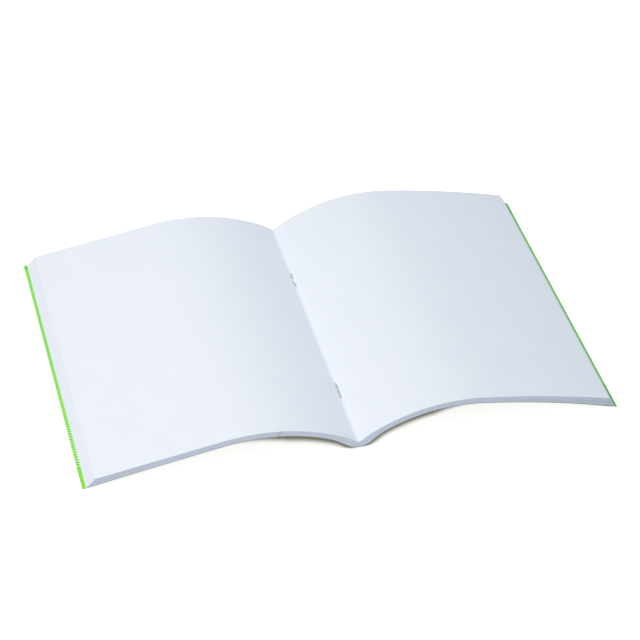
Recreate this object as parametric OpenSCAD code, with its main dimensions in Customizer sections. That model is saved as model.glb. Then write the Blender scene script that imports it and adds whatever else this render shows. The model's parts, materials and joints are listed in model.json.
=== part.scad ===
// Stapled exercise book lying open at its centre spread, with both halves bowed up from the table.
// X runs across the spread, Y from the tail of the pages to their head, and Z up from the table.
// The book rests on its spine and on both fore edges, and the origin is on the table, midway
// between the fore edges and midway between tail and head.

/* [Pages] */
// Half of the width of the innermost sheet, along the paper from fore edge to fore edge
page_w = 163; // [120:1:230]
// How far the fold lies to the left of the middle of the innermost sheet
off_middle = 0.75; // [0:0.05:2]
// Height of the pages, from tail to head
page_h = 205; // [140:1:320]
// Thickness of the leaves of one half where they are pressed together
stack_t = 3.8; // [2:0.1:7]
// Extra thickness of the left leaves at the fore edge, where air parts them
left_fan = 1.1; // [0:0.1:3]
// Extra thickness of the right leaves at the fore edge
right_fan = 2.1; // [0:0.1:3]
// How far the lowest left leaf reaches past the halved width, as folded sheets nest
left_creep = 5.6; // [1:0.1:8]
// How far the lowest right leaf reaches past the halved width
right_creep = 6.9; // [3:0.1:8]

/* [Bow] */
// Angle that the left half turns through in its arch beside the fold
left_bend = 44.5; // [25:0.5:55]
// Length of paper in the left arch
left_arch = 86; // [50:1:110]
// Further angle that the left half turns through on its way to the fore edge
left_droop = 0.4; // [0.2:0.1:12]
// Angle that the right half turns through in its arch beside the fold
right_bend = 46; // [25:0.5:55]
// Length of paper in the right arch
right_arch = 80; // [50:1:110]
// Further angle that the right half turns through on its way to the fore edge
right_droop = 7.5; // [0.2:0.1:12]

/* [Cover] */
// Thickness of the cover card
cover_t = 0.3; // [0.2:0.05:0.8]
// Width of the cover that shows past the lowest left leaf
left_margin = 2.2; // [0.5:0.1:5]
// Width of the cover that shows past the lowest right leaf
right_margin = 1.6; // [0.5:0.1:5]
// Width of the spine that is pressed flat on the table
spine_flat = 2; // [1:0.5:6]
// Radius that the spine is rounded to on both sides of the flat, inside the cover
spine_r = 8.5; // [6:0.5:12]
// Distance from the fold, along the paper, where the leaves lie close together again
shoulder = 15; // [12:0.5:20]

/* [Staples] */
// Thickness of the staple wire
wire_d = 0.55; // [0.4:0.05:0.8]
// Length of a staple's crown, outside its legs
staple_w = 13.6; // [10:0.1:18]
// Distance from the tail of the pages to the middle of the lower staple
tail_inset = 45; // [30:0.5:65]
// Distance from the head of the pages to the middle of the upper staple
head_inset = 53.5; // [30:0.5:65]
// Length of a clenched staple leg along the fold
clench = 5.4; // [3:0.1:6]
// Play around the wire in the paper and in the card
wire_play = 0.05; // [0.02:0.01:0.2]
// Play between the two halves at the fold
fold_play = 0.1; // [0.05:0.05:0.3]

/* [Hidden] */

PAPER = [0.93, 0.95, 0.98];
CARD = [0.47, 0.86, 0.20];
STEEL = [0.66, 0.70, 0.74];

// Steps along the paper in which an arch is drawn
STEPS = 48;
// The fanning of the leaves starts late: it grows with this power of the distance from the fold
FAN_POWER = 3;
// Steps in which one side of the rounded spine is drawn, and its largest radius as a share of the one
// that would run straight into the shoulder
SPINE_STEPS = 8;
SPINE_SHARE = 0.9;
// Facets around a staple's wire
WIRE_FACETS = 24;

// One half of the book: arch angle and length, droop, fan, creep, margin, end of the open page
LEFT = [left_bend, left_arch, left_droop, left_fan, left_creep, left_margin, page_w - off_middle];
RIGHT = [right_bend, right_arch, right_droop, right_fan, right_creep, right_margin, page_w + off_middle];
function bend(half) = half[0];
function arch(half) = half[1];
function droop(half) = half[2];
function fan(half) = half[3];
function leaf_end(half) = page_w + half[4];
function cover_end(half) = leaf_end(half) + half[5];
function page_end(half) = half[6];

// Height of the innermost fold, and so of the line that the book closes about
fold_z = cover_t + stack_t;

// Slope of the top page at distance s from the fold, before the half is let down on its fore edge
function slope(half, s) = s < arch(half)
    ? bend(half) * (1 - s / arch(half))
    : -droop(half) * (s - arch(half)) / (page_w - arch(half));

// Radius of an arc that turns through an angle in a length, and the step along it between two slopes
function arc_r(angle, length) = length * 180 / (PI * angle);
function arc_step(r, from, to) = r * [sin(from) - sin(to), cos(to) - cos(from)];

// Top page at distance s from the fold: a tight arc, then a flat one that is tangent to it
function page_point(half, s) = s <= arch(half)
    ? arc_step(arc_r(bend(half), arch(half)), bend(half), slope(half, s))
    : page_point(half, arch(half))
        + arc_step(arc_r(droop(half), page_w - arch(half)), 0, slope(half, s));

// A point at a depth square under the top page
function under(half, s, depth) = page_point(half, s)
    + depth * [sin(slope(half, s)), -cos(slope(half, s))];

// Thickness of the leaves at distance s from the fold
function leaves_t(half, s) = stack_t + fan(half) * pow(min(s / page_w, 1), FAN_POWER);

// Angle that the half is let down by, so that the lower edge of its cover meets the table
function rest_tilt(half) = let(s = cover_end(half), e = under(half, s, leaves_t(half, s) + cover_t))
    atan2(e[1], e[0]) + asin(fold_z / norm(e));

// The same point once the half rests on the table
function rest(half, p) = let(t = rest_tilt(half))
    [p[0] * cos(t) + p[1] * sin(t), fold_z - p[0] * sin(t) + p[1] * cos(t)];

// The underside of the leaves at distance s from the fold, or a point that lies extra below it
function underside(half, s, extra) = rest(half, under(half, s, leaves_t(half, s) + extra));

// How far the cover of one half reaches from the fold, and the fold's place between the two
function reach(half) = underside(half, cover_end(half), 0)[0];
fold_x = (reach(LEFT) - reach(RIGHT)) / 2;

function steps(from, to) = [for (i = [0:STEPS]) from + (to - from) * i / STEPS];
function reversed(list) = [for (i = [len(list) - 1:-1:0]) list[i]];

// Outlines of one half, in the plane across the fold. Leaves and cover are drawn from the same
// points, so that they lie face to face.
function top_page(half) = [for (s = steps(0, page_end(half))) rest(half, under(half, s, 0))];
function below(half, extra) = [for (s = steps(shoulder, leaf_end(half))) underside(half, s, extra)];
function margin_end(half, extra) = underside(half, cover_end(half), extra);

// The spine is flat under the fold. An arc goes on from the flat, and a straight neck is tangent to the
// arc and runs up to the shoulder, whose place is given here from the end of the flat.
function shoulder_point(half) = underside(half, shoulder, 0) - [spine_flat / 2, cover_t];
function spine_arc_r(half) = let(p = shoulder_point(half))
    min(spine_r, SPINE_SHARE * (p * p) / (2 * p[1]));
function neck_slope(half) = let(r = spine_arc_r(half), d = shoulder_point(half) - [0, r])
    atan2(d[1], d[0]) + 90 - acos(r / norm(d));
function spine(half, extra) = let(r = spine_arc_r(half), turn = neck_slope(half) / SPINE_STEPS) concat(
    [[0, cover_t - extra]],
    [for (i = [0:SPINE_STEPS])
        [spine_flat / 2, cover_t + r] + (r + extra) * [sin(turn * i), -cos(turn * i)]]);

module leaves_outline(half) polygon(concat(
    top_page(half),
    reversed(below(half, 0)),
    reversed(spine(half, 0))));

module cover_outline(half) polygon(concat(
    spine(half, cover_t),
    below(half, cover_t),
    [margin_end(half, cover_t), margin_end(half, 0)],
    reversed(below(half, 0)),
    reversed(spine(half, 0))));

// An outline across the fold, drawn out to the height of the pages and cut back at the fold
module drawn_out() difference() {
    rotate([90, 0, 0]) linear_extrude(page_h, center = true) children();
    translate([-page_w, -page_h, -page_w]) cube([page_w + fold_play / 2, 2 * page_h, 2 * page_w]);
    staple_room(tail_y);
    staple_room(head_y);
}

// Middles of the staples along the fold
tail_y = tail_inset - page_h / 2;
head_y = page_h / 2 - head_inset;

// Heights of the middle of the wire: the crown is pressed flush with the spine, and the clenched
// legs lie in the fold
crown_z = wire_d / 2;
clench_z = fold_z + wire_d / 4;
// The legs bend over a radius of one wire
bend_r = wire_d;
leg_y = (staple_w - wire_d) / 2;

// Space that a staple takes in the paper and the card: crown, legs and the groove of the fold
module staple_room(y) translate([0, y, 0]) {
    room = wire_d / 2 + wire_play;
    groove = clench_z - fold_z + room;
    side = staple_w / 2 + wire_play;
    translate([-room, -side, -cover_t]) cube([2 * room, 2 * side, cover_t + wire_d + wire_play]);
    for (e = [-1, 1]) translate([0, e * leg_y, 0]) cylinder(h = fold_z, r = room, $fn = WIRE_FACETS);
    translate([0, side, fold_z]) rotate([90, 0, 0]) cylinder(h = 2 * side, r = groove, $fn = WIRE_FACETS);
}

// A length of wire along +Y, round the bend from +Z to +Y, and upright
module wire(length) rotate([-90, 0, 0]) cylinder(h = length, d = wire_d, $fn = WIRE_FACETS);
module wire_bend() translate([0, bend_r, 0]) rotate([90, 0, -90])
    rotate_extrude(angle = 90, $fn = 2 * WIRE_FACETS) translate([bend_r, 0])
        circle(d = wire_d, $fn = WIRE_FACETS);
module post(height) cylinder(h = height, d = wire_d, $fn = WIRE_FACETS);

// Half of a bent staple: half of the crown, the leg through the fold and its clenched end
module half_staple() translate([0, -leg_y, 0]) {
    translate([0, bend_r, crown_z]) wire(leg_y - bend_r);
    translate([0, 0, crown_z + bend_r]) mirror([0, 0, 1]) wire_bend();
    translate([0, 0, crown_z + bend_r]) post(clench_z - crown_z - 2 * bend_r);
    translate([0, 0, clench_z - bend_r]) wire_bend();
    translate([0, bend_r, clench_z]) wire(clench - bend_r);
}

module staple(y) color(STEEL) translate([fold_x, y, 0]) {
    half_staple();
    mirror([0, 1, 0]) half_staple();
}

// The halves of the book, on the left and on the right of the fold
module left_half() translate([fold_x, 0, 0]) mirror([1, 0, 0]) drawn_out() children();
module right_half() translate([fold_x, 0, 0]) drawn_out() children();

module left_leaves() color(PAPER) left_half() leaves_outline(LEFT);
module right_leaves() color(PAPER) right_half() leaves_outline(RIGHT);
module front_cover() color(CARD) left_half() cover_outline(LEFT);
module back_cover() color(CARD) right_half() cover_outline(RIGHT);
module head_staple() staple(head_y);
module tail_staple() staple(tail_y);

left_leaves();
right_leaves();
front_cover();
back_cover();
head_staple();
tail_staple();
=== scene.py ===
"""Stapled exercise book lying open at its centre spread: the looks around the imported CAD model.

Lengths of the book are in millimetres, as in the CAD source, and turn into metres when a mesh is made.
"""

import json
import math

import bpy
import numpy as np
from mathutils import Matrix, Vector

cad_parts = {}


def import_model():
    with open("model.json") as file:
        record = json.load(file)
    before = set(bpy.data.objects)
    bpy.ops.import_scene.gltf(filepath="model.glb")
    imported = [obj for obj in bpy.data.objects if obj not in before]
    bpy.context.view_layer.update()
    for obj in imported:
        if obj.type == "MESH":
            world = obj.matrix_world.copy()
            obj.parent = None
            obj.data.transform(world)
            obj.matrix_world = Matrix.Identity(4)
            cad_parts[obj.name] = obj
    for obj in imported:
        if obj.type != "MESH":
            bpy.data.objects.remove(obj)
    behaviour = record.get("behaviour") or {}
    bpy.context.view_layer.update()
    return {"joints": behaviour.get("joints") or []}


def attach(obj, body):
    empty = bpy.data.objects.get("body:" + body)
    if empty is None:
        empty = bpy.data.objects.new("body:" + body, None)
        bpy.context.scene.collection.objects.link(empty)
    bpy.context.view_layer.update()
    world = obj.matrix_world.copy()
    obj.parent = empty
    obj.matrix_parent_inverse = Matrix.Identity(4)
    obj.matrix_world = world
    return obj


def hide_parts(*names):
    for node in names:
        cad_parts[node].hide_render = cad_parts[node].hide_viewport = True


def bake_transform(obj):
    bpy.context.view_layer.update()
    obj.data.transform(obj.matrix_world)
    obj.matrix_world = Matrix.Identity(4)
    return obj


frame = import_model()

# Sizes that the CAD source holds
PAGE_W = 163.0
OFF_MIDDLE = 0.75
PAGE_H = 205.0
STACK_T = 3.8
COVER_T = 0.3
SPINE_FLAT, SPINE_R = 2.0, 8.5
SHOULDER = 15.0
FAN_POWER = 3
WIRE_D = 0.55
STAPLE_W = 13.6
TAIL_INSET, HEAD_INSET = 45.0, 53.5
TAIL_Y = TAIL_INSET - PAGE_H / 2
HEAD_Y = PAGE_H / 2 - HEAD_INSET
STAPLES = (HEAD_Y, TAIL_Y)
FOLD_Z = COVER_T + STACK_T
FOLD_X = frame["joints"][0]["pos_m"][0] * 1000

# Leaves on each side of the fold, and the thickness of one
LEAVES = 40
SHEET_T = 0.083
# The innermost fold is rounded, and the staples draw it in a little
FOLD_ROUND, FOLD_DIP, FOLD_DIP_REACH = 0.6, 0.5, 4.0
# Every sheet has a row of points this far inside its cut edges, so that it is shaded level up to them
EDGE_ROW = 0.04
# Metres in a millimetre
MM = 0.001


# The two halves in the plane across the fold


class Half:
    """Shape of one half: distances along the paper give places across the fold, in millimetres.

    side is -1 on the left and 1 on the right. bend and droop are in degrees.
    """

    # Steps along the underside, the width over which it is eased, and how far past its ends it is known
    GRID = 0.05
    SMOOTHING = 0.9
    SPARE = 6.0
    # Distance to each side over which the direction of the underside is taken
    ASIDE = 0.2
    # The smaller this is, the more unevenly the air lies between the leaves
    AIR_SHAPE = 0.7

    def __init__(self, side, bend, arch, droop, fan, creep, margin, seed):
        self.side, self.arch, self.fan, self.creep = side, arch, fan, creep
        self.bend, self.droop = math.radians(bend), math.radians(droop)
        self.page_end = PAGE_W + side * OFF_MIDDLE
        self.leaf_end = PAGE_W + creep
        self.cover_end = self.leaf_end + margin
        end = self.flat_under(self.cover_end, self.leaves_t(self.cover_end) + COVER_T)
        self.tilt = math.atan2(end[1], end[0]) + math.asin(FOLD_Z / np.hypot(*end))
        self.lower = self.smooth_underside()
        weights = np.random.default_rng(seed).gamma(self.AIR_SHAPE, 1.0, LEAVES)
        self.share = np.concatenate([[0], np.cumsum(weights) / weights.sum()])

    def slope(self, s):
        """Slope of the top page before the half is let down on its fore edge, in radians."""
        return np.where(
            s < self.arch,
            self.bend * (1 - s / self.arch),
            -self.droop * (s - self.arch) / (PAGE_W - self.arch),
        )

    def flat_top(self, s):
        """Top page before the half is let down: a tight arc, then a flat one that is tangent to it."""
        s = np.asarray(s, float)
        a = self.slope(s)
        near = self.arch / self.bend
        far = (PAGE_W - self.arch) / self.droop
        knee = near * np.array([math.sin(self.bend), 1 - math.cos(self.bend)])
        arch = near * np.stack([math.sin(self.bend) - np.sin(a), np.cos(a) - math.cos(self.bend)], -1)
        droop = knee + far * np.stack([-np.sin(a), np.cos(a) - 1], -1)
        return np.where((s <= self.arch)[..., None], arch, droop)

    def flat_under(self, s, depth):
        """A point at a depth square under the top page."""
        a = self.slope(np.asarray(s, float))
        down = np.stack([np.sin(a), -np.cos(a)], -1)
        return self.flat_top(s) + np.asarray(depth)[..., None] * down

    def leaves_t(self, s):
        """Thickness of the leaves, which air parts more and more towards the fore edge."""
        return STACK_T + self.fan * np.clip(s / PAGE_W, 0, 1) ** FAN_POWER

    def rest(self, p):
        """The same points once the half rests on the table."""
        c, s = math.cos(self.tilt), math.sin(self.tilt)
        x, z = p[..., 0], p[..., 1]
        return np.stack([x * c + z * s, FOLD_Z - x * s + z * c], -1)

    def top(self, s):
        """The open page, with its rounded fold drawn in."""
        points = self.rest(self.flat_top(s))
        x = points[..., 0]
        rounding = math.tan(self.bend - self.tilt) * (np.hypot(x, FOLD_ROUND) - x)
        points[..., 1] += rounding - FOLD_DIP * np.exp(-((x / FOLD_DIP_REACH) ** 2))
        return points

    def smooth_underside(self):
        """Underside of the leaves: flat under the fold, then an arc and a neck tangent to it."""
        s = np.arange(-self.SPARE, self.cover_end + self.SPARE, self.GRID)
        sure = np.maximum(s, SHOULDER)
        exact = self.rest(self.flat_under(sure, self.leaves_t(sure)))
        from_centre = exact[0] - np.array([SPINE_FLAT / 2, COVER_T + SPINE_R])
        apart = np.hypot(*from_centre)
        neck_slope = math.atan2(from_centre[1], from_centre[0]) + math.pi / 2 - math.acos(SPINE_R / apart)
        arc, neck = SPINE_R * neck_slope, math.sqrt(apart**2 - SPINE_R**2)
        way = np.abs(s) / SHOULDER * (SPINE_FLAT / 2 + arc + neck) - SPINE_FLAT / 2
        turn = np.clip(way, 0, arc) / SPINE_R
        up_neck = np.maximum(way - arc, 0)
        x = np.minimum(way, 0) + SPINE_FLAT / 2 + SPINE_R * np.sin(turn) + up_neck * math.cos(neck_slope)
        z = COVER_T + SPINE_R * (1 - np.cos(turn)) + up_neck * math.sin(neck_slope)
        spine = np.stack([np.sign(s) * x, z], -1)
        points = np.where((s < SHOULDER)[:, None], spine, exact)
        reach = np.arange(-3 * self.SMOOTHING, 3 * self.SMOOTHING + 1e-9, self.GRID)
        kernel = np.exp(-((reach / self.SMOOTHING) ** 2) / 2)
        kernel /= kernel.sum()
        keep = len(reach) // 2
        eased = np.stack([np.convolve(points[:, k], kernel, "valid") for k in (0, 1)], -1)
        return s[keep : keep + len(eased)], eased

    def bottom(self, s):
        known, points = self.lower
        return np.stack([np.interp(s, known, points[:, k]) for k in (0, 1)], -1)

    def bottom_down(self, s):
        """Unit vector square to the underside, pointing away from the leaves."""
        s = np.asarray(s)
        d = self.bottom(s + self.ASIDE) - self.bottom(s - self.ASIDE)
        d /= np.hypot(d[..., 0], d[..., 1])[..., None]
        return np.stack([d[..., 1], -d[..., 0]], -1)

    def inside(self, s, share):
        """A point in the leaves, at a share of the way from the open page to the cover."""
        share = np.asarray(share)[..., None]
        return (1 - share) * self.top(s) + share * self.bottom(s)

    def leaf(self, s, number):
        """Upper and lower surface of one leaf. Air gathers in a few of the gaps towards the fore edge."""
        total = self.leaves_t(s)
        depth = number * STACK_T / LEAVES + (total - STACK_T) * self.share[number]
        return self.inside(s, depth / total), self.inside(s, (depth + SHEET_T) / total)

    def card(self, s):
        """Upper and lower surface of the cover card."""
        upper = self.bottom(s)
        return upper, upper + COVER_T * self.bottom_down(s)


# The numbers are the CAD source's, but for the right margin of 1.9: the photo shows it 0.3 mm wider
LEFT = Half(-1, 44.5, 86, 0.4, 1.1, 5.6, 2.2, seed=4)
RIGHT = Half(1, 46, 80, 7.5, 2.1, 6.9, 1.9, seed=9)


def both(left, right):
    """Joins a line over the left half to one over the right half, as one line from left to right."""
    left = left[::-1].copy()
    if left.ndim == 2:
        left[:, 0] *= -1
        left[:, 0] += FOLD_X
        right = right + np.array([FOLD_X, 0])
    else:
        left *= -1
    return np.concatenate([left[:-1], right])


# Distances from the fold where the drawn steps along a sheet grow
FINE_TO, MIDDLE_TO = 7, 24


def distances(end, fine=0.5, coarse=2.6, extra=()):
    """Distances from the fold at which a sheet is drawn: close together where it is bent at the fold."""
    near = np.concatenate([[0, 0.12, 0.3, 0.5, 0.75], np.arange(1, FINE_TO, fine)])
    middle = np.linspace(FINE_TO, MIDDLE_TO, 14)
    far = np.linspace(MIDDLE_TO, end, int(round((end - MIDDLE_TO) / coarse)) + 1)
    return np.unique(np.concatenate([near, middle, far, [end - EDGE_ROW], np.asarray(extra, float)]))


def with_edge_rows(rows):
    """Places along the fold, with one more just inside each end."""
    return np.unique(np.concatenate([rows, [rows[0] + EDGE_ROW, rows[-1] - EDGE_ROW]]))


# Mesh making


def placed(name, data):
    """A new object with this data, in the scene."""
    piece = bpy.data.objects.new(name, data)
    bpy.context.scene.collection.objects.link(piece)
    return piece


class Sheets:
    """Collects thin closed sheets and makes one mesh of them."""

    def __init__(self):
        self.points, self.faces, self.looks, self.flat = [], [], [], []
        self.uv, self.tone, self.count = [], [], 0

    def add(self, along, upper, lower, y, tone=0.5, looks=(0, 0, 1, 2)):
        """Adds one sheet.

        along: signed distance of each column from the fold. upper and lower: (rows, columns, 3).
        looks: materials of the upper side, the lower side, the ends along the fold and the fore edges.
        """
        rows, columns = upper.shape[:2]
        base = self.count
        top = base + np.arange(rows * columns).reshape(rows, columns)
        low = top + rows * columns
        self.points += [upper.reshape(-1, 3), lower.reshape(-1, 3)]
        self.count += 2 * rows * columns

        def quads(a, b, c, d, look, flat):
            found = np.stack([a, b, c, d], -1).reshape(-1, 4)
            self.faces.append(found)
            self.looks.append(np.full(len(found), look))
            self.flat.append(np.full(len(found), flat))

        quads(top[:-1, :-1], top[:-1, 1:], top[1:, 1:], top[1:, :-1], looks[0], False)
        quads(low[1:, :-1], low[1:, 1:], low[:-1, 1:], low[:-1, :-1], looks[1], False)
        quads(low[0, :-1], low[0, 1:], top[0, 1:], top[0, :-1], looks[2], True)
        quads(top[-1, :-1], top[-1, 1:], low[-1, 1:], low[-1, :-1], looks[2], True)
        quads(top[:-1, 0], top[1:, 0], low[1:, 0], low[:-1, 0], looks[3], True)
        quads(low[:-1, -1], low[1:, -1], top[1:, -1], top[:-1, -1], looks[3], True)
        u = np.broadcast_to(along, (rows, columns))
        v = np.broadcast_to(y, (rows, columns))
        self.uv += [np.stack([u, v], -1).reshape(-1, 2)] * 2
        self.tone.append(np.full(2 * rows * columns, tone))

    def finish(self, name, materials):
        mesh = bpy.data.meshes.new(name)
        faces = np.concatenate(self.faces)
        mesh.from_pydata(np.concatenate(self.points) * MM, [], faces)
        mesh.polygons.foreach_set("material_index", np.concatenate(self.looks))
        mesh.polygons.foreach_set("use_smooth", ~np.concatenate(self.flat))
        layer = mesh.uv_layers.new(name="Sheet")
        layer.uv.foreach_set("vector", (np.concatenate(self.uv)[faces.ravel()] * MM).ravel())
        tone = mesh.attributes.new("tone", "FLOAT", "POINT")
        tone.data.foreach_set("value", np.concatenate(self.tone))
        for material in materials:
            mesh.materials.append(material)
        mesh.update()
        piece = placed(name, mesh)
        return piece


def drawn_out(section, y):
    """A line across the fold, (columns, 2), drawn along the fold at the places y."""
    y = np.asarray(y, float)
    if y.ndim == 1:
        y = np.broadcast_to(y[:, None], (len(y), len(section)))
    x = np.broadcast_to(section[:, 0], y.shape)
    z = np.broadcast_to(section[:, 1], y.shape)
    return np.stack([x, y, z], -1)


# Materials


def material(name, **sockets):
    """A new material with the given values on its shader, and helpers to add nodes to it."""
    made = bpy.data.materials.new(name)
    made.use_nodes = True
    shader = made.node_tree.nodes["Principled BSDF"]
    for key, value in sockets.items():
        shader.inputs[key.replace("_", " ")].default_value = value
    return made, Nodes(made.node_tree), shader


class Nodes:
    """Short ways to add and join shader nodes. A socket is named, or given by its number as i0 or i1."""

    def __init__(self, tree):
        self.tree = tree

    def add(self, kind, settings=None, **inputs):
        made = self.tree.nodes.new("ShaderNode" + kind)
        for key, value in (settings or {}).items():
            setattr(made, key, value)
        for key, value in inputs.items():
            by_number = key[0] == "i" and key[1:].isdigit()
            self.put(made.inputs[int(key[1:]) if by_number else key.replace("_", " ")], value)
        return made

    def put(self, socket, value):
        if isinstance(value, bpy.types.NodeSocket):
            self.tree.links.new(value, socket)
        elif value is not None:
            socket.default_value = value

    def math(self, operation, a, b=None, clamp=False):
        return self.add("Math", {"operation": operation, "use_clamp": clamp}, i0=a, i1=b).outputs[0]

    def ramp(self, value, low, high, to_low=0.0, to_high=1.0):
        made = self.add("MapRange", Value=value, From_Min=low, From_Max=high, To_Min=to_low, To_Max=to_high)
        return made.outputs["Result"]

    def mix(self, share, a, b):
        made = self.add("Mix", {"data_type": "RGBA"}, i0=share)
        self.put(made.inputs[6], a)
        self.put(made.inputs[7], b)
        return made.outputs[2]

    def sheet_mm(self, stretch=(1, 1, 1)):
        """Place on the sheet in millimetres: distance from the fold, and along it."""
        uv = self.add("UVMap", {"uv_map": "Sheet"})
        scale = [1000 * k for k in stretch]
        return self.add("Mapping", Vector=uv.outputs["UV"], Scale=scale).outputs[0]

    def noise(self, vector, scale, detail=2.0, rough=0.5):
        made = self.add("TexNoise", Vector=vector, Scale=scale, Detail=detail, Roughness=rough)
        return made.outputs["Fac"]

    def bump(self, height, strength, distance):
        return self.add("Bump", Height=height, Strength=strength, Distance=distance).outputs["Normal"]

    def off_centre(self, value, pitch):
        """Signed distance from the middle of the cell that value lies in, in a row of cells of this pitch."""
        # A whole number of cells is added, so that none is counted from below zero
        cell = self.math("FRACT", self.math("ADD", self.math("DIVIDE", value, pitch), 500.0))
        return self.math("MULTIPLY", self.math("SUBTRACT", cell, 0.5), pitch)


# Colours: paper and its cut edges, the print of the card, and its core, which is painted dark olive as shade
# on the cut edge and shows through scuffs
PAPER = (0.848, 0.884, 0.946, 1)
PAPER_DULL = (0.808, 0.846, 0.920, 1)
STEP_SHADED = (0.710, 0.750, 0.870, 1)
EDGE = (0.86, 0.895, 1.0, 1)
EDGE_DULL = (0.75, 0.782, 0.925, 1)
# The fore edges are painted darker than tail and head: painted shade between the leaves
FORE_EDGE_SHADED = (0.72, 0.765, 0.885, 1)
FORE_EDGE_SHADED_DULL = (0.60, 0.650, 0.79, 1)
GREEN_HEAD = (0.150, 0.660, 0.018, 1)
GREEN_TAIL = (0.270, 0.740, 0.045, 1)
GREEN_RIGHT = (0.075, 0.560, 0.012, 1)
GREEN_BEHIND = (0.120, 0.660, 0.014, 1)
GREEN_DOT = (0.80, 0.96, 0.56, 1)
OUTSIDE = (0.050, 0.200, 0.020, 1)
OUTSIDE_DEEP = (0.036, 0.150, 0.016, 1)
CARD_CORE_AND_SHADE = (0.17, 0.225, 0.10, 1)
CARD_CORE_SHADE_DEEP = (0.10, 0.125, 0.06, 1)
GREEN_NEAR_CORNERS = (0.11, 0.40, 0.03, 1)


# How strongly the painted shade of the steps shows on the left and on the right, and over what distance that
# sets in
LEFT_STEP_SHADE, RIGHT_STEP_SHADE, STEP_SOFT = 0.24, 0.9, 0.4


def page_material():
    made, n, shader = material("page_paper", Specular_IOR_Level=0.28)
    place = n.sheet_mm()
    cloud = n.noise(place, 0.055, 3)
    fibre = n.noise(n.sheet_mm((1.0, 2.6, 1)), 1.9, 4, 0.65)
    grain = n.noise(place, 6.5, 2, 0.7)
    shade = n.mix(n.ramp(cloud, 0.35, 0.70, 0, 0.42), PAPER, PAPER_DULL)
    shade = n.mix(n.ramp(fibre, 0.30, 0.75, 0, 0.22), shade, PAPER_DULL)
    # Past the open page only the narrow steps of the leaves under it show: they are rough, and carry painted
    # shade where they shade each other, far more on the right than on the left
    u = n.add("SeparateXYZ", Vector=place).outputs["X"]
    left_step_shade = n.ramp(u, -LEFT.page_end - STEP_SOFT, -LEFT.page_end, LEFT_STEP_SHADE, 0)
    right_step_shade = n.ramp(u, RIGHT.page_end, RIGHT.page_end + STEP_SOFT, 0, RIGHT_STEP_SHADE)
    shade = n.mix(n.math("ADD", left_step_shade, right_step_shade), shade, STEP_SHADED)
    n.put(shader.inputs["Base Color"], shade)
    n.put(shader.inputs["Roughness"], n.ramp(fibre, 0.2, 0.8, 0.62, 0.80))
    height = n.math("ADD", n.math("MULTIPLY", fibre, 0.7), n.math("MULTIPLY", grain, 0.3))
    n.put(shader.inputs["Normal"], n.bump(height, 0.16, 0.00006))
    return made


def edge_material(name, clear, dull):
    """Cut edge of the leaves: every leaf has its own tone, with streaks along it."""
    made, n, shader = material(name, Specular_IOR_Level=0.2)
    tone = n.add("Attribute", {"attribute_name": "tone"}).outputs["Fac"]
    place = n.sheet_mm()
    sheet = n.add("CombineXYZ", Z=n.math("MULTIPLY", tone, 90.0)).outputs[0]
    own_place = n.add("VectorMath", {"operation": "ADD"}, i0=place, i1=sheet).outputs[0]
    streak = n.noise(own_place, 0.22, 3, 0.6)
    share = n.math("ADD", n.math("MULTIPLY", tone, 0.45), n.math("MULTIPLY", streak, 0.55))
    n.put(shader.inputs["Base Color"], n.mix(n.ramp(share, 0.25, 0.8), clear, dull))
    n.put(shader.inputs["Roughness"], n.ramp(streak, 0.2, 0.8, 0.78, 0.92))
    n.put(shader.inputs["Normal"], n.bump(n.noise(place, 4.0, 3, 0.7), 0.2, 0.00005))
    return made


PAPER_LOOKS = [
    page_material(),
    edge_material("cut_paper_edge", EDGE, EDGE_DULL),
    # The fore edges carry painted shade: darker colours than the tail and head
    edge_material("paper_fore_edge_shaded", FORE_EDGE_SHADED, FORE_EDGE_SHADED_DULL),
]


# The nested sheets


# Each sheet is trimmed a hair differently: at most this much at tail and head, and at the fore edges
END_TRIM, FORE_TRIM = 0.07, 0.12


def tail_and_head(rng):
    """Ends of one sheet along the fold."""
    inset = rng.uniform(0.0, END_TRIM, 2)
    return with_edge_rows(np.array([-PAGE_H / 2 + inset[0], PAGE_H / 2 - inset[1]]))


# A nick in the trimming knife left a slanting line across the tail of the left leaves: its distance
# from the fold in the top leaf and in the lowest, half of its width, and its depth
NICK_TOP, NICK_LOW = 51.3, 52.8
NICK_W, NICK_DEEP = 0.42, 0.9


def leaf_sheet(number, rng, fine=0.5, coarse=2.6):
    """One folded sheet: its lines over both halves, and the distances along them."""
    share = (number + 0.5) / LEAVES
    nick = NICK_TOP + (NICK_LOW - NICK_TOP) * share
    lines, ends = [], []
    for half in (LEFT, RIGHT):
        end = half.page_end + (half.leaf_end - half.page_end) * share
        end -= rng.uniform(0, FORE_TRIM) if number else 0.0
        extra = nick + NICK_W * np.array([-1, -0.4, 0, 0.4, 1]) if half is LEFT else ()
        s = distances(end, fine, coarse, extra)
        lines.append(half.leaf(s, number))
        ends.append(s)
    along = both(ends[0], ends[1])
    upper, lower = (both(lines[0][k], lines[1][k]) for k in (0, 1))
    dent = NICK_DEEP * np.clip(1 - np.abs(-along - nick) / NICK_W, 0, 1)
    return along, upper, lower, dent


def nested_sheets():
    rng = np.random.default_rng(21)
    made = Sheets()
    for number in range(1, LEAVES):
        along, upper, lower, dent = leaf_sheet(number, rng)
        rows = tail_and_head(rng)
        y = np.broadcast_to(rows[:, None], (len(rows), len(along))).copy()
        y[:2] += dent
        made.add(along, drawn_out(upper, y), drawn_out(lower, y), y, rng.uniform(0, 1))
    return made.finish("nested_sheets", PAPER_LOOKS)


# A small crease of the centre sheet runs into its fold at the tail: its ends along the fold, its place
# from the fold at both, its height and its width
CREASE_FROM, CREASE_TO = 3.0, 14.5
CREASE_NEAR, CREASE_FAR = 0.0, 0.9
CREASE_HIGH, CREASE_W = 0.70, 0.50
# Shares of its length over which it rises, and dies away
CREASE_RISE, CREASE_FALL = (-0.05, 0.25), (0.55, 1.1)
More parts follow.
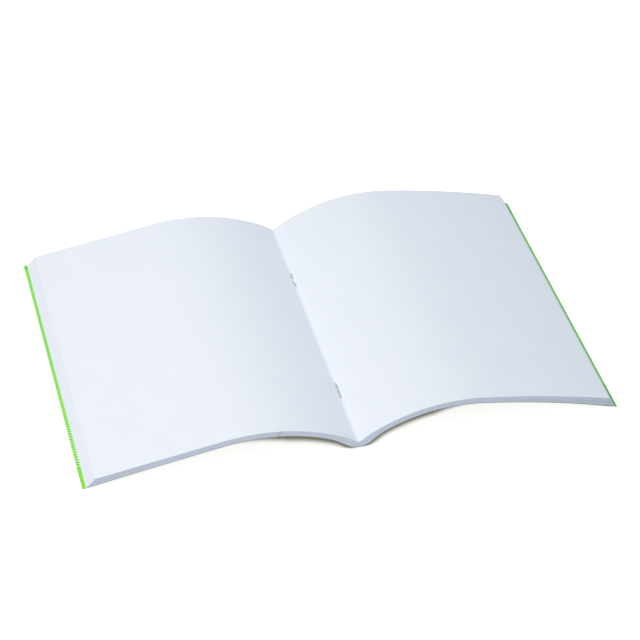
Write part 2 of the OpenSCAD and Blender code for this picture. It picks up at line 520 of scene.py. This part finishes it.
# Between its ends and its staples the centre sheet turns more gently at the fold: how far to each side
# it is rounded, and how steep it is beside the rounding
GENTLE_FOLD, FOLD_STEEP = 2.4, 0.72
# Distances from tail and head between which that begins, and how far along the fold a staple holds it
GENTLE_TAIL, GENTLE_HEAD, HELD = (8, 26), (4, 20), 10
# The underside of the sheet follows its top side by this share
FOLLOWS = 0.9


def smooth(value, start, end):
    """Rises from 0 at start to 1 at end, with level ends."""
    share = np.clip((value - start) / (end - start), 0, 1)
    return share * share * (3 - 2 * share)


def gentle_fold(along, rows):
    """How far the centre sheet is lifted where its fold is rounded."""
    x = np.abs(along)
    rounded = np.where(x < GENTLE_FOLD, (x**2 / GENTLE_FOLD + GENTLE_FOLD) / 2, x)
    lift = FOLD_STEEP * np.maximum(rounded - np.hypot(x, FOLD_ROUND), 0)
    from_tail, from_head = PAGE_H / 2 + rows, PAGE_H / 2 - rows
    share = smooth(from_tail, *GENTLE_TAIL) * smooth(from_head, *GENTLE_HEAD)
    for y in STAPLES:
        share = share * (1 - np.exp(-(((rows - y) / HELD) ** 2)))
    return share[:, None] * lift[None]


def crease(along, rows):
    """How far the centre sheet is lifted along its crease."""
    share = (rows[:, None] + PAGE_H / 2 - CREASE_FROM) / (CREASE_TO - CREASE_FROM)
    ridge = CREASE_NEAR + (CREASE_FAR - CREASE_NEAR) * np.clip(share, 0, 1)
    off_ridge = (-along[None] - ridge) / CREASE_W
    ends = smooth(share, *CREASE_RISE) * smooth(-share, -CREASE_FALL[1], -CREASE_FALL[0])
    return CREASE_HIGH * np.exp(-(off_ridge**2)) * ends


def centre_sheet():
    """The sheet that lies open. It is drawn finer than the others, for its crease."""
    rng = np.random.default_rng(3)
    along, upper, lower, dent = leaf_sheet(0, rng, fine=0.25, coarse=2.2)
    # Rows lie close together along the crease, and further apart towards the head
    tail = -PAGE_H / 2 + np.concatenate([np.arange(0, 18, 0.6), np.arange(18, 30, 2.0)])
    rows = with_edge_rows(np.concatenate([tail, np.linspace(tail[-1] + 4, PAGE_H / 2, 22)]))
    y = np.broadcast_to(rows[:, None], (len(rows), len(along))).copy()
    y[:2] += dent
    up, low = drawn_out(upper, y), drawn_out(lower, y)
    lift = gentle_fold(along, rows) + crease(along, rows)
    up[..., 2] += lift
    low[..., 2] += lift * FOLLOWS
    made = Sheets()
    made.add(along, up, low, y, 0.35)
    return made.finish("centre_sheet", PAPER_LOOKS)


# The cover card


# Half of the width of the groove that a staple presses into the card, and how wide its flank is, then
# how far it reaches past the crown, and how long its end is
GROOVE_HALF, GROOVE_FLANK = 0.62, 0.36
GROOVE_PAST, GROOVE_END = 0.45, 0.4


def groove(along, rows):
    """How far the card is pressed in over the crown of each staple."""
    deep = np.zeros((len(rows), len(along)))
    across = np.clip((GROOVE_HALF - np.abs(along)) / GROOVE_FLANK, 0, 1)
    for y in STAPLES:
        lengthwise = np.clip((STAPLE_W / 2 + GROOVE_PAST - np.abs(rows - y)) / GROOVE_END, 0, 1)
        deep = np.maximum(deep, lengthwise[:, None] * across[None])
    return WIRE_D * deep


# Print on the inside of the card: light dots in rows, between two solid ends
DOT_R, DOT_PITCH, DOT_COLUMN = 0.45, 2.18, 1.22
SOLID_TAIL, SOLID_HEAD = 17.0, 4.5
# On the right the dots begin further in, and are fainter
MORE_TAIL, MORE_HEAD, FAINTER = 3.0, 7.5, 0.68
# Borders of dots and of the solid ends are soft over this distance, to each side
DOT_SOFT, SOLID_SOFT = 0.08, 0.5


def inside_material():
    made, n, shader = material("cover_inside", Specular_IOR_Level=0.4)
    place = n.sheet_mm()
    split = n.add("SeparateXYZ", Vector=place)
    u, v = split.outputs["X"], split.outputs["Y"]
    streak = n.noise(n.sheet_mm((2.2, 0.12, 1)), 1.0, 3, 0.6)
    solid = n.mix(n.ramp(v, -PAGE_H / 2, PAGE_H / 2), GREEN_TAIL, GREEN_HEAD)
    right = n.ramp(u, -SHOULDER, SHOULDER)
    solid = n.mix(right, solid, GREEN_RIGHT)
    solid = n.mix(n.ramp(streak, 0.3, 0.7, 0, 0.3), solid, GREEN_RIGHT)
    across = n.off_centre(u, DOT_COLUMN)
    lengthwise = n.off_centre(v, DOT_PITCH)
    away = n.math("SQRT", n.math("ADD", n.math("POWER", across, 2.0), n.math("POWER", lengthwise, 2.0)))
    dot = n.ramp(away, DOT_R - DOT_SOFT, DOT_R + DOT_SOFT, 1.0, 0.0)
    dot = n.math("MULTIPLY", dot, n.ramp(right, 0, 1, 1.0, FAINTER))
    from_tail = n.math("SUBTRACT", v, n.math("MULTIPLY", right, MORE_TAIL))
    from_head = n.math("ADD", v, n.math("MULTIPLY", right, MORE_HEAD))
    tail, head = SOLID_TAIL - PAGE_H / 2, PAGE_H / 2 - SOLID_HEAD
    past_tail = n.ramp(from_tail, tail - SOLID_SOFT, tail + SOLID_SOFT)
    before_head = n.ramp(from_head, head - SOLID_SOFT, head + SOLID_SOFT, 1.0, 0.0)
    dotted = n.math("MULTIPLY", past_tail, before_head)
    behind = n.mix(n.math("MULTIPLY", dotted, 0.8), solid, GREEN_BEHIND)
    n.put(shader.inputs["Base Color"], n.mix(n.math("MULTIPLY", dot, dotted), behind, GREEN_DOT))
    n.put(shader.inputs["Roughness"], n.ramp(streak, 0.2, 0.8, 0.42, 0.56))
    n.put(shader.inputs["Normal"], n.bump(n.noise(place, 2.4, 3), 0.15, 0.00004))
    return made


def outside_material():
    """The coated outside of the card, with a fine orange peel and light scuffs where it is handled."""
    coat = {"Coat_Weight": 0.25, "Coat_Roughness": 0.3}
    made, n, shader = material("cover_outside", Specular_IOR_Level=0.5, **coat)
    place = n.sheet_mm()
    streak = n.noise(n.sheet_mm((2.2, 0.12, 1)), 1.0, 3, 0.6)
    cloud = n.noise(place, 0.05, 3)
    solid = n.mix(n.ramp(streak, 0.3, 0.7), OUTSIDE, OUTSIDE_DEEP)
    from_fold = n.math("ABSOLUTE", n.add("SeparateXYZ", Vector=place).outputs["X"])
    rub = n.noise(n.sheet_mm((1, 0.35, 1)), 0.9, 5, 0.7)
    worn = n.math("MULTIPLY", n.ramp(from_fold, 1.5, 4.5, 1.0, 0.0), n.ramp(rub, 0.48, 0.66))
    n.put(shader.inputs["Base Color"], n.mix(n.math("MULTIPLY", worn, 0.55), solid, CARD_CORE_AND_SHADE))
    gloss = n.ramp(cloud, 0.3, 0.7, 0.34, 0.46)
    n.put(shader.inputs["Roughness"], n.math("ADD", gloss, n.math("MULTIPLY", worn, 0.3)))
    n.put(shader.inputs["Normal"], n.bump(n.noise(place, 1.6, 3), 0.12, 0.00005))
    return made


def core_material():
    made, n, shader = material("cover_cut_edge", Specular_IOR_Level=0.3)
    place = n.sheet_mm()
    fibre = n.noise(place, 2.5, 4, 0.7)
    # Painted shade: the cut edge is coloured dark olive for the shadow along it under the book
    core = n.mix(n.ramp(fibre, 0.35, 0.65), CARD_CORE_SHADE_DEEP, CARD_CORE_AND_SHADE)
    # Towards the right corners that painted shade gives way to green
    u = n.add("SeparateXYZ", Vector=place).outputs["X"]
    n.put(shader.inputs["Base Color"], n.mix(n.ramp(u, 115, 145, 0, 0.9), core, GREEN_NEAR_CORNERS))
    n.put(shader.inputs["Roughness"], n.ramp(fibre, 0.2, 0.8, 0.6, 0.85))
    n.put(shader.inputs["Normal"], n.bump(fibre, 0.25, 0.00005))
    return made


def cover_card():
    # Columns and rows lie close together at the flanks and the ends of the grooves
    s = [distances(half.cover_end, extra=(0.2, 0.45, 0.75)) for half in (LEFT, RIGHT)]
    lines = [half.card(d) for half, d in zip((LEFT, RIGHT), s)]
    along = both(s[0], s[1])
    upper, lower = (both(lines[0][k], lines[1][k]) for k in (0, 1))
    staple_end = STAPLE_W / 2 + np.array([0.05, 0.25, 0.5])
    rows = [np.linspace(-PAGE_H / 2, PAGE_H / 2, 9)]
    for y in STAPLES:
        rows += [y - staple_end, y + staple_end]
    rows = with_edge_rows(np.unique(np.concatenate(rows)))
    y = np.broadcast_to(rows[:, None], (len(rows), len(along)))
    deep = groove(along, rows)
    up, low = drawn_out(upper, y), drawn_out(lower, y)
    up[..., 2] += deep
    low[..., 2] += deep
    made = Sheets()
    made.add(along, up, low, y, looks=(0, 1, 2, 2))
    return made.finish("cover_card", [inside_material(), outside_material(), core_material()])


# The staples


# Height of the clenched ends over the fold, and how much a tip rises for each millimetre that it is
# turned aside
CLENCH_UP, TIP_UP = 0.30, 0.16
# The cut ends are pinched a little by the stapling head
PINCH = 0.55
BEND_STEPS, WIRE_SIDES = 7, 16

WIRE_BRIGHT = (0.42, 0.47, 0.51, 1)
WIRE_DULL = (0.25, 0.29, 0.33, 1)


def wire_material():
    made, n, shader = material("staple_wire", Metallic=1.0)
    at = n.add("TexCoord").outputs["Object"]
    streak = n.noise(n.add("Mapping", Vector=at, Scale=(9000, 700, 9000)).outputs[0], 1.0, 3, 0.6)
    n.put(shader.inputs["Base Color"], n.mix(n.ramp(streak, 0.3, 0.7), WIRE_BRIGHT, WIRE_DULL))
    n.put(shader.inputs["Roughness"], n.ramp(streak, 0.2, 0.8, 0.30, 0.46))
    n.put(shader.inputs["Normal"], n.bump(streak, 0.15, 0.00002))
    return made


def bend(corner, before, after, radius):
    """Points round a bend that leaves the line from before and joins the line to after."""
    a = (before - corner).normalized()
    b = (after - corner).normalized()
    start, end = corner + a * radius, corner + b * radius
    share = [k / (BEND_STEPS - 1) for k in range(BEND_STEPS)]
    return [start * (1 - t) ** 2 + corner * 2 * t * (1 - t) + end * t**2 for t in share]


def wire_path(y, legs):
    """Middle line of a bent staple. legs gives the length of each clenched leg and its tip's place across."""
    crown, clench = WIRE_D / 2, FOLD_Z + CLENCH_UP
    half = (STAPLE_W - WIRE_D) / 2
    middle = Vector((0, 0, crown))
    ends = []
    for sign, (length, skew) in zip((-1, 1), legs):
        foot = Vector((0, sign * half, crown))
        knee = Vector((0, sign * half, clench))
        tip = Vector((skew, sign * (half - length), clench + TIP_UP * abs(skew)))
        leg = bend(foot, middle, knee, WIRE_D) + bend(knee, foot, tip, WIRE_D * 0.9)
        ends.append(leg + [knee.lerp(tip, 0.6), tip])
    return [p + Vector((FOLD_X, y, 0)) for p in ends[0][::-1] + ends[1]]


def staple(name, y, legs):
    path, sides = wire_path(y, legs), WIRE_SIDES
    last = len(path) - 1
    points, faces = [], []
    for k, p in enumerate(path):
        ahead = (path[min(k + 1, last)] - path[max(k - 1, 0)]).normalized()
        across = Vector((1, 0, 0))
        across = (across - ahead * across.dot(ahead)).normalized()
        up = ahead.cross(across)
        pinch = PINCH if k in (0, last) else 1.0
        for m in range(sides):
            a = 2 * math.pi * m / sides
            points.append((p + WIRE_D / 2 * (across * math.cos(a) + up * math.sin(a) * pinch)) * MM)
    for k in range(last):
        for m in range(sides):
            a, b = k * sides + m, k * sides + (m + 1) % sides
            faces.append((a, b, b + sides, a + sides))
    faces.append(tuple(range(sides))[::-1])
    faces.append(tuple(range(last * sides, (last + 1) * sides)))
    mesh = bpy.data.meshes.new(name)
    mesh.from_pydata(points, [], faces)
    mesh.polygons.foreach_set("use_smooth", [len(face) == 4 for face in faces])
    mesh.materials.append(WIRE)
    mesh.update()
    piece = placed(name, mesh)
    return piece


WIRE = wire_material()

innermost = centre_sheet()
nested = nested_sheets()
card = cover_card()
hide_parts("left_leaves", "right_leaves")
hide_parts("left_leaves", "right_leaves")
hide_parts("front_cover", "back_cover")

# Paper and card take their placement into their meshes
for piece in (innermost, nested, card):
    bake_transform(piece)

head_wire = staple("head_wire", HEAD_Y, ((4.7, -1.05), (5.7, -0.6)))
tail_wire = staple("tail_wire", TAIL_Y, ((6.5, -0.35), (6.3, 0.0)))
for piece, node in ((head_wire, "head_staple"), (tail_wire, "tail_staple")):
    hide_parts(node)
    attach(piece, "right_half")


# Floor, lights and camera


def behind_camera(n):
    """1 where a ray comes from the camera, or from gloss or glass that shows the background."""
    path = n.add("LightPath")
    seen = n.math("ADD", path.outputs["Is Camera Ray"], path.outputs["Is Glossy Ray"])
    return n.math("ADD", seen, path.outputs["Is Transmission Ray"], clamp=True)


# The floor shows the background's white, and keeps the shadow where the book takes its light away: what
# it returns to the camera and to the book, and what it gives off for the camera in the open, and as a
# painted shadow under an arch and deep under the book
FLOOR_SEEN, FLOOR_REAL = 1.0, 0.92
FLOOR_OPEN = (0.875, 0.822, 0.832, 1)
FLOOR_PAINTED_SHADOW = (0.088, 0.036, 0.026, 1)
FLOOR_PAINTED_SHADOW_DEEP = (0.040, 0.040, 0.055, 1)
# Under the arches, from both ends, the floor's glow is cut back in a painted shadow. Its edge runs at this
# slant, across and along the fold for each millimetre of height, and the glow fades out between these
# distances before the arch covers it, on the left and on the right
SHADOW_SLANT = (0.35, 1.0)
FADE_LEFT, FADE_RIGHT = (6.6, 0.8), (4.9, 0.2)
# Beside the spine the glow reaches less far in than it does further out
NEAR_SPINE, FAR_OUT, FURTHER = 45.0, 92.0, 8.0
# How far behind that the painted shadow is as dark as it gets, and how far past the book the glow is full
# again
DARKEST, BESIDE = 14.0, 5.0
# The floor lies a hair below the table, and reaches this far out. Its mesh is fine where it shades:
# across, out to the first distance from the middle, and along the fold between the other two
FLOOR_DROP, FLOOR_HALF = 0.03, 3000.0
ROWS_ACROSS, ROWS_FROM, ROWS_TO = 176, 60, 112


def painted_shadow_glow(x, y):
    """How much of the floor's glow places on the floor keep, as a painted shadow: 1 in the open, 0 where an
    arch covers them, and on to -1 deep under the book."""
    s = np.arange(0, 160, 0.5)
    under = both(LEFT.bottom(s), RIGHT.bottom(s))
    height = under[:, 1] - COVER_T
    away = np.abs(under[:, 0] - FOLD_X)
    far = np.clip((away - NEAR_SPINE) / (FAR_OUT - NEAR_SPINE), 0, 1) * FURTHER
    covered = np.interp(x, under[:, 0] + SHADOW_SLANT[0] * height, SHADOW_SLANT[1] * height + far)
    depth = PAGE_H / 2 - np.abs(y)
    left, right = (smooth(depth, covered - a, covered - b) for a, b in (FADE_LEFT, FADE_RIGHT))
    dark = np.where(x < FOLD_X, left, right) + smooth(depth, covered, covered + DARKEST)
    return 1 - dark * (1 - smooth(np.abs(x - FOLD_X), away.max(), away.max() + BESIDE))


def floor():
    """The white table under the book. It is stage, and no part of the book."""
    x = np.concatenate([[-FLOOR_HALF], np.arange(-ROWS_ACROSS, ROWS_ACROSS + 1, 2.0), [FLOOR_HALF]])
    inner = np.concatenate([np.arange(0, ROWS_FROM, 15.0), np.arange(ROWS_FROM, ROWS_TO + 1, 1.0)])
    y = np.concatenate([[-FLOOR_HALF], -inner[:0:-1], inner, [FLOOR_HALF]])
    across, along = np.meshgrid(x, y)
    points = np.stack([across, along, np.full_like(across, -FLOOR_DROP)], -1).reshape(-1, 3) * MM
    columns = len(x)
    faces = [
        (k, k + 1, k + 1 + columns, k + columns)
        for row in range(len(y) - 1)
        for k in range(row * columns, row * columns + columns - 1)
    ]
    mesh = bpy.data.meshes.new("floor")
    mesh.from_pydata(points.tolist(), [], faces)
    share = mesh.attributes.new("painted_shadow_glow", "FLOAT", "POINT")
    share.data.foreach_set("value", painted_shadow_glow(across, along).ravel())
    made = bpy.data.materials.new("floor_white")
    made.use_nodes = True
    n = Nodes(made.node_tree)
    made.node_tree.nodes.clear()
    seen = behind_camera(n)
    colour = n.mix(seen, (FLOOR_REAL, FLOOR_REAL, FLOOR_REAL, 1), (FLOOR_SEEN, FLOOR_SEEN, FLOOR_SEEN, 1))
    base = n.add("BsdfDiffuse", Color=colour)
    glow_kept = n.add("Attribute", {"attribute_name": "painted_shadow_glow"}).outputs["Fac"]
    # Painted shadow: under an arch and deep under the book the glow turns dark
    under = n.mix(n.ramp(glow_kept, -1, 0), FLOOR_PAINTED_SHADOW_DEEP, FLOOR_PAINTED_SHADOW)
    glow = n.add("Emission", Color=n.mix(glow_kept, under, FLOOR_OPEN), Strength=seen)
    total = n.add("AddShader", i0=base.outputs[0], i1=glow.outputs[0])
    n.put(n.add("OutputMaterial").inputs["Surface"], total.outputs[0])
    mesh.materials.append(made)
    piece = placed("floor", mesh)


def world(fill, strength):
    """A background that is white to the camera, and lights the book with the fill."""
    made = bpy.data.worlds.new("studio")
    made.use_nodes = True
    bpy.context.scene.world = made
    n = Nodes(made.node_tree)
    made.node_tree.nodes.clear()
    seen = behind_camera(n)
    colour = n.mix(seen, fill, (1, 1, 1, 1))
    background = n.add("Background", Color=colour, Strength=n.ramp(seen, 0, 1, strength, 1.0))
    n.put(n.add("OutputWorld").inputs["Surface"], background.outputs[0])


def softbox(name, place, target, size, power, colour):
    lamp = bpy.data.lights.new(name, "AREA")
    lamp.shape, lamp.size, lamp.size_y = "RECTANGLE", size[0], size[1]
    lamp.energy, lamp.color = power, colour
    piece = placed(name, lamp)
    piece.location = place
    piece.rotation_mode = "QUATERNION"
    piece.rotation_quaternion = (Vector(target) - Vector(place)).to_track_quat("-Z", "Y")


floor()
# A soft cool fill from all around, and a warmer window of light to the left of the book, in metres
world((0.83, 1.0, 1.13, 1), 0.443)
softbox("key", (-0.445, -0.125, 1.10), (0, 0, 0), (0.6, 0.6), 7.95, (1.12, 1.0, 0.905))

# The camera stands where the photograph was taken from: angles in radians, distance from the point
# that it is aimed at, and that point's place from the fold and from the tail
AZIMUTH, ELEVATION, ROLL = -0.308010, 0.709351, 0.065043
DISTANCE, AIM = 1357.5, (7.719, 115.075)
FOCAL_PX, IMAGE_PX, SENSOR = 2163.3, 640, 36.0


def camera():
    """A camera whose axes are worked out from the angles. back points from the book to the camera."""
    back = Vector((
        math.sin(AZIMUTH) * math.cos(ELEVATION),
        -math.cos(AZIMUTH) * math.cos(ELEVATION),
        math.sin(ELEVATION),
    ))
    right = Vector((math.cos(AZIMUTH), math.sin(AZIMUTH), 0))
    up = back.cross(right)
    x = right * math.cos(ROLL) + up * math.sin(ROLL)
    y = up * math.cos(ROLL) - right * math.sin(ROLL)
    data = bpy.data.cameras.new("camera")
    data.sensor_width, data.lens = SENSOR, SENSOR * FOCAL_PX / IMAGE_PX
    data.clip_start, data.clip_end = 0.05, 20
    piece = placed("camera", data)
    place = Vector((AIM[0] + FOLD_X, AIM[1] - PAGE_H / 2, 0)) + back * DISTANCE
    axes = Matrix((x, y, back)).transposed().to_4x4()
    piece.matrix_world = Matrix.Translation(place * MM) @ axes
    bpy.context.scene.camera = piece


camera()
bpy.context.scene.view_settings.view_transform = "Standard"
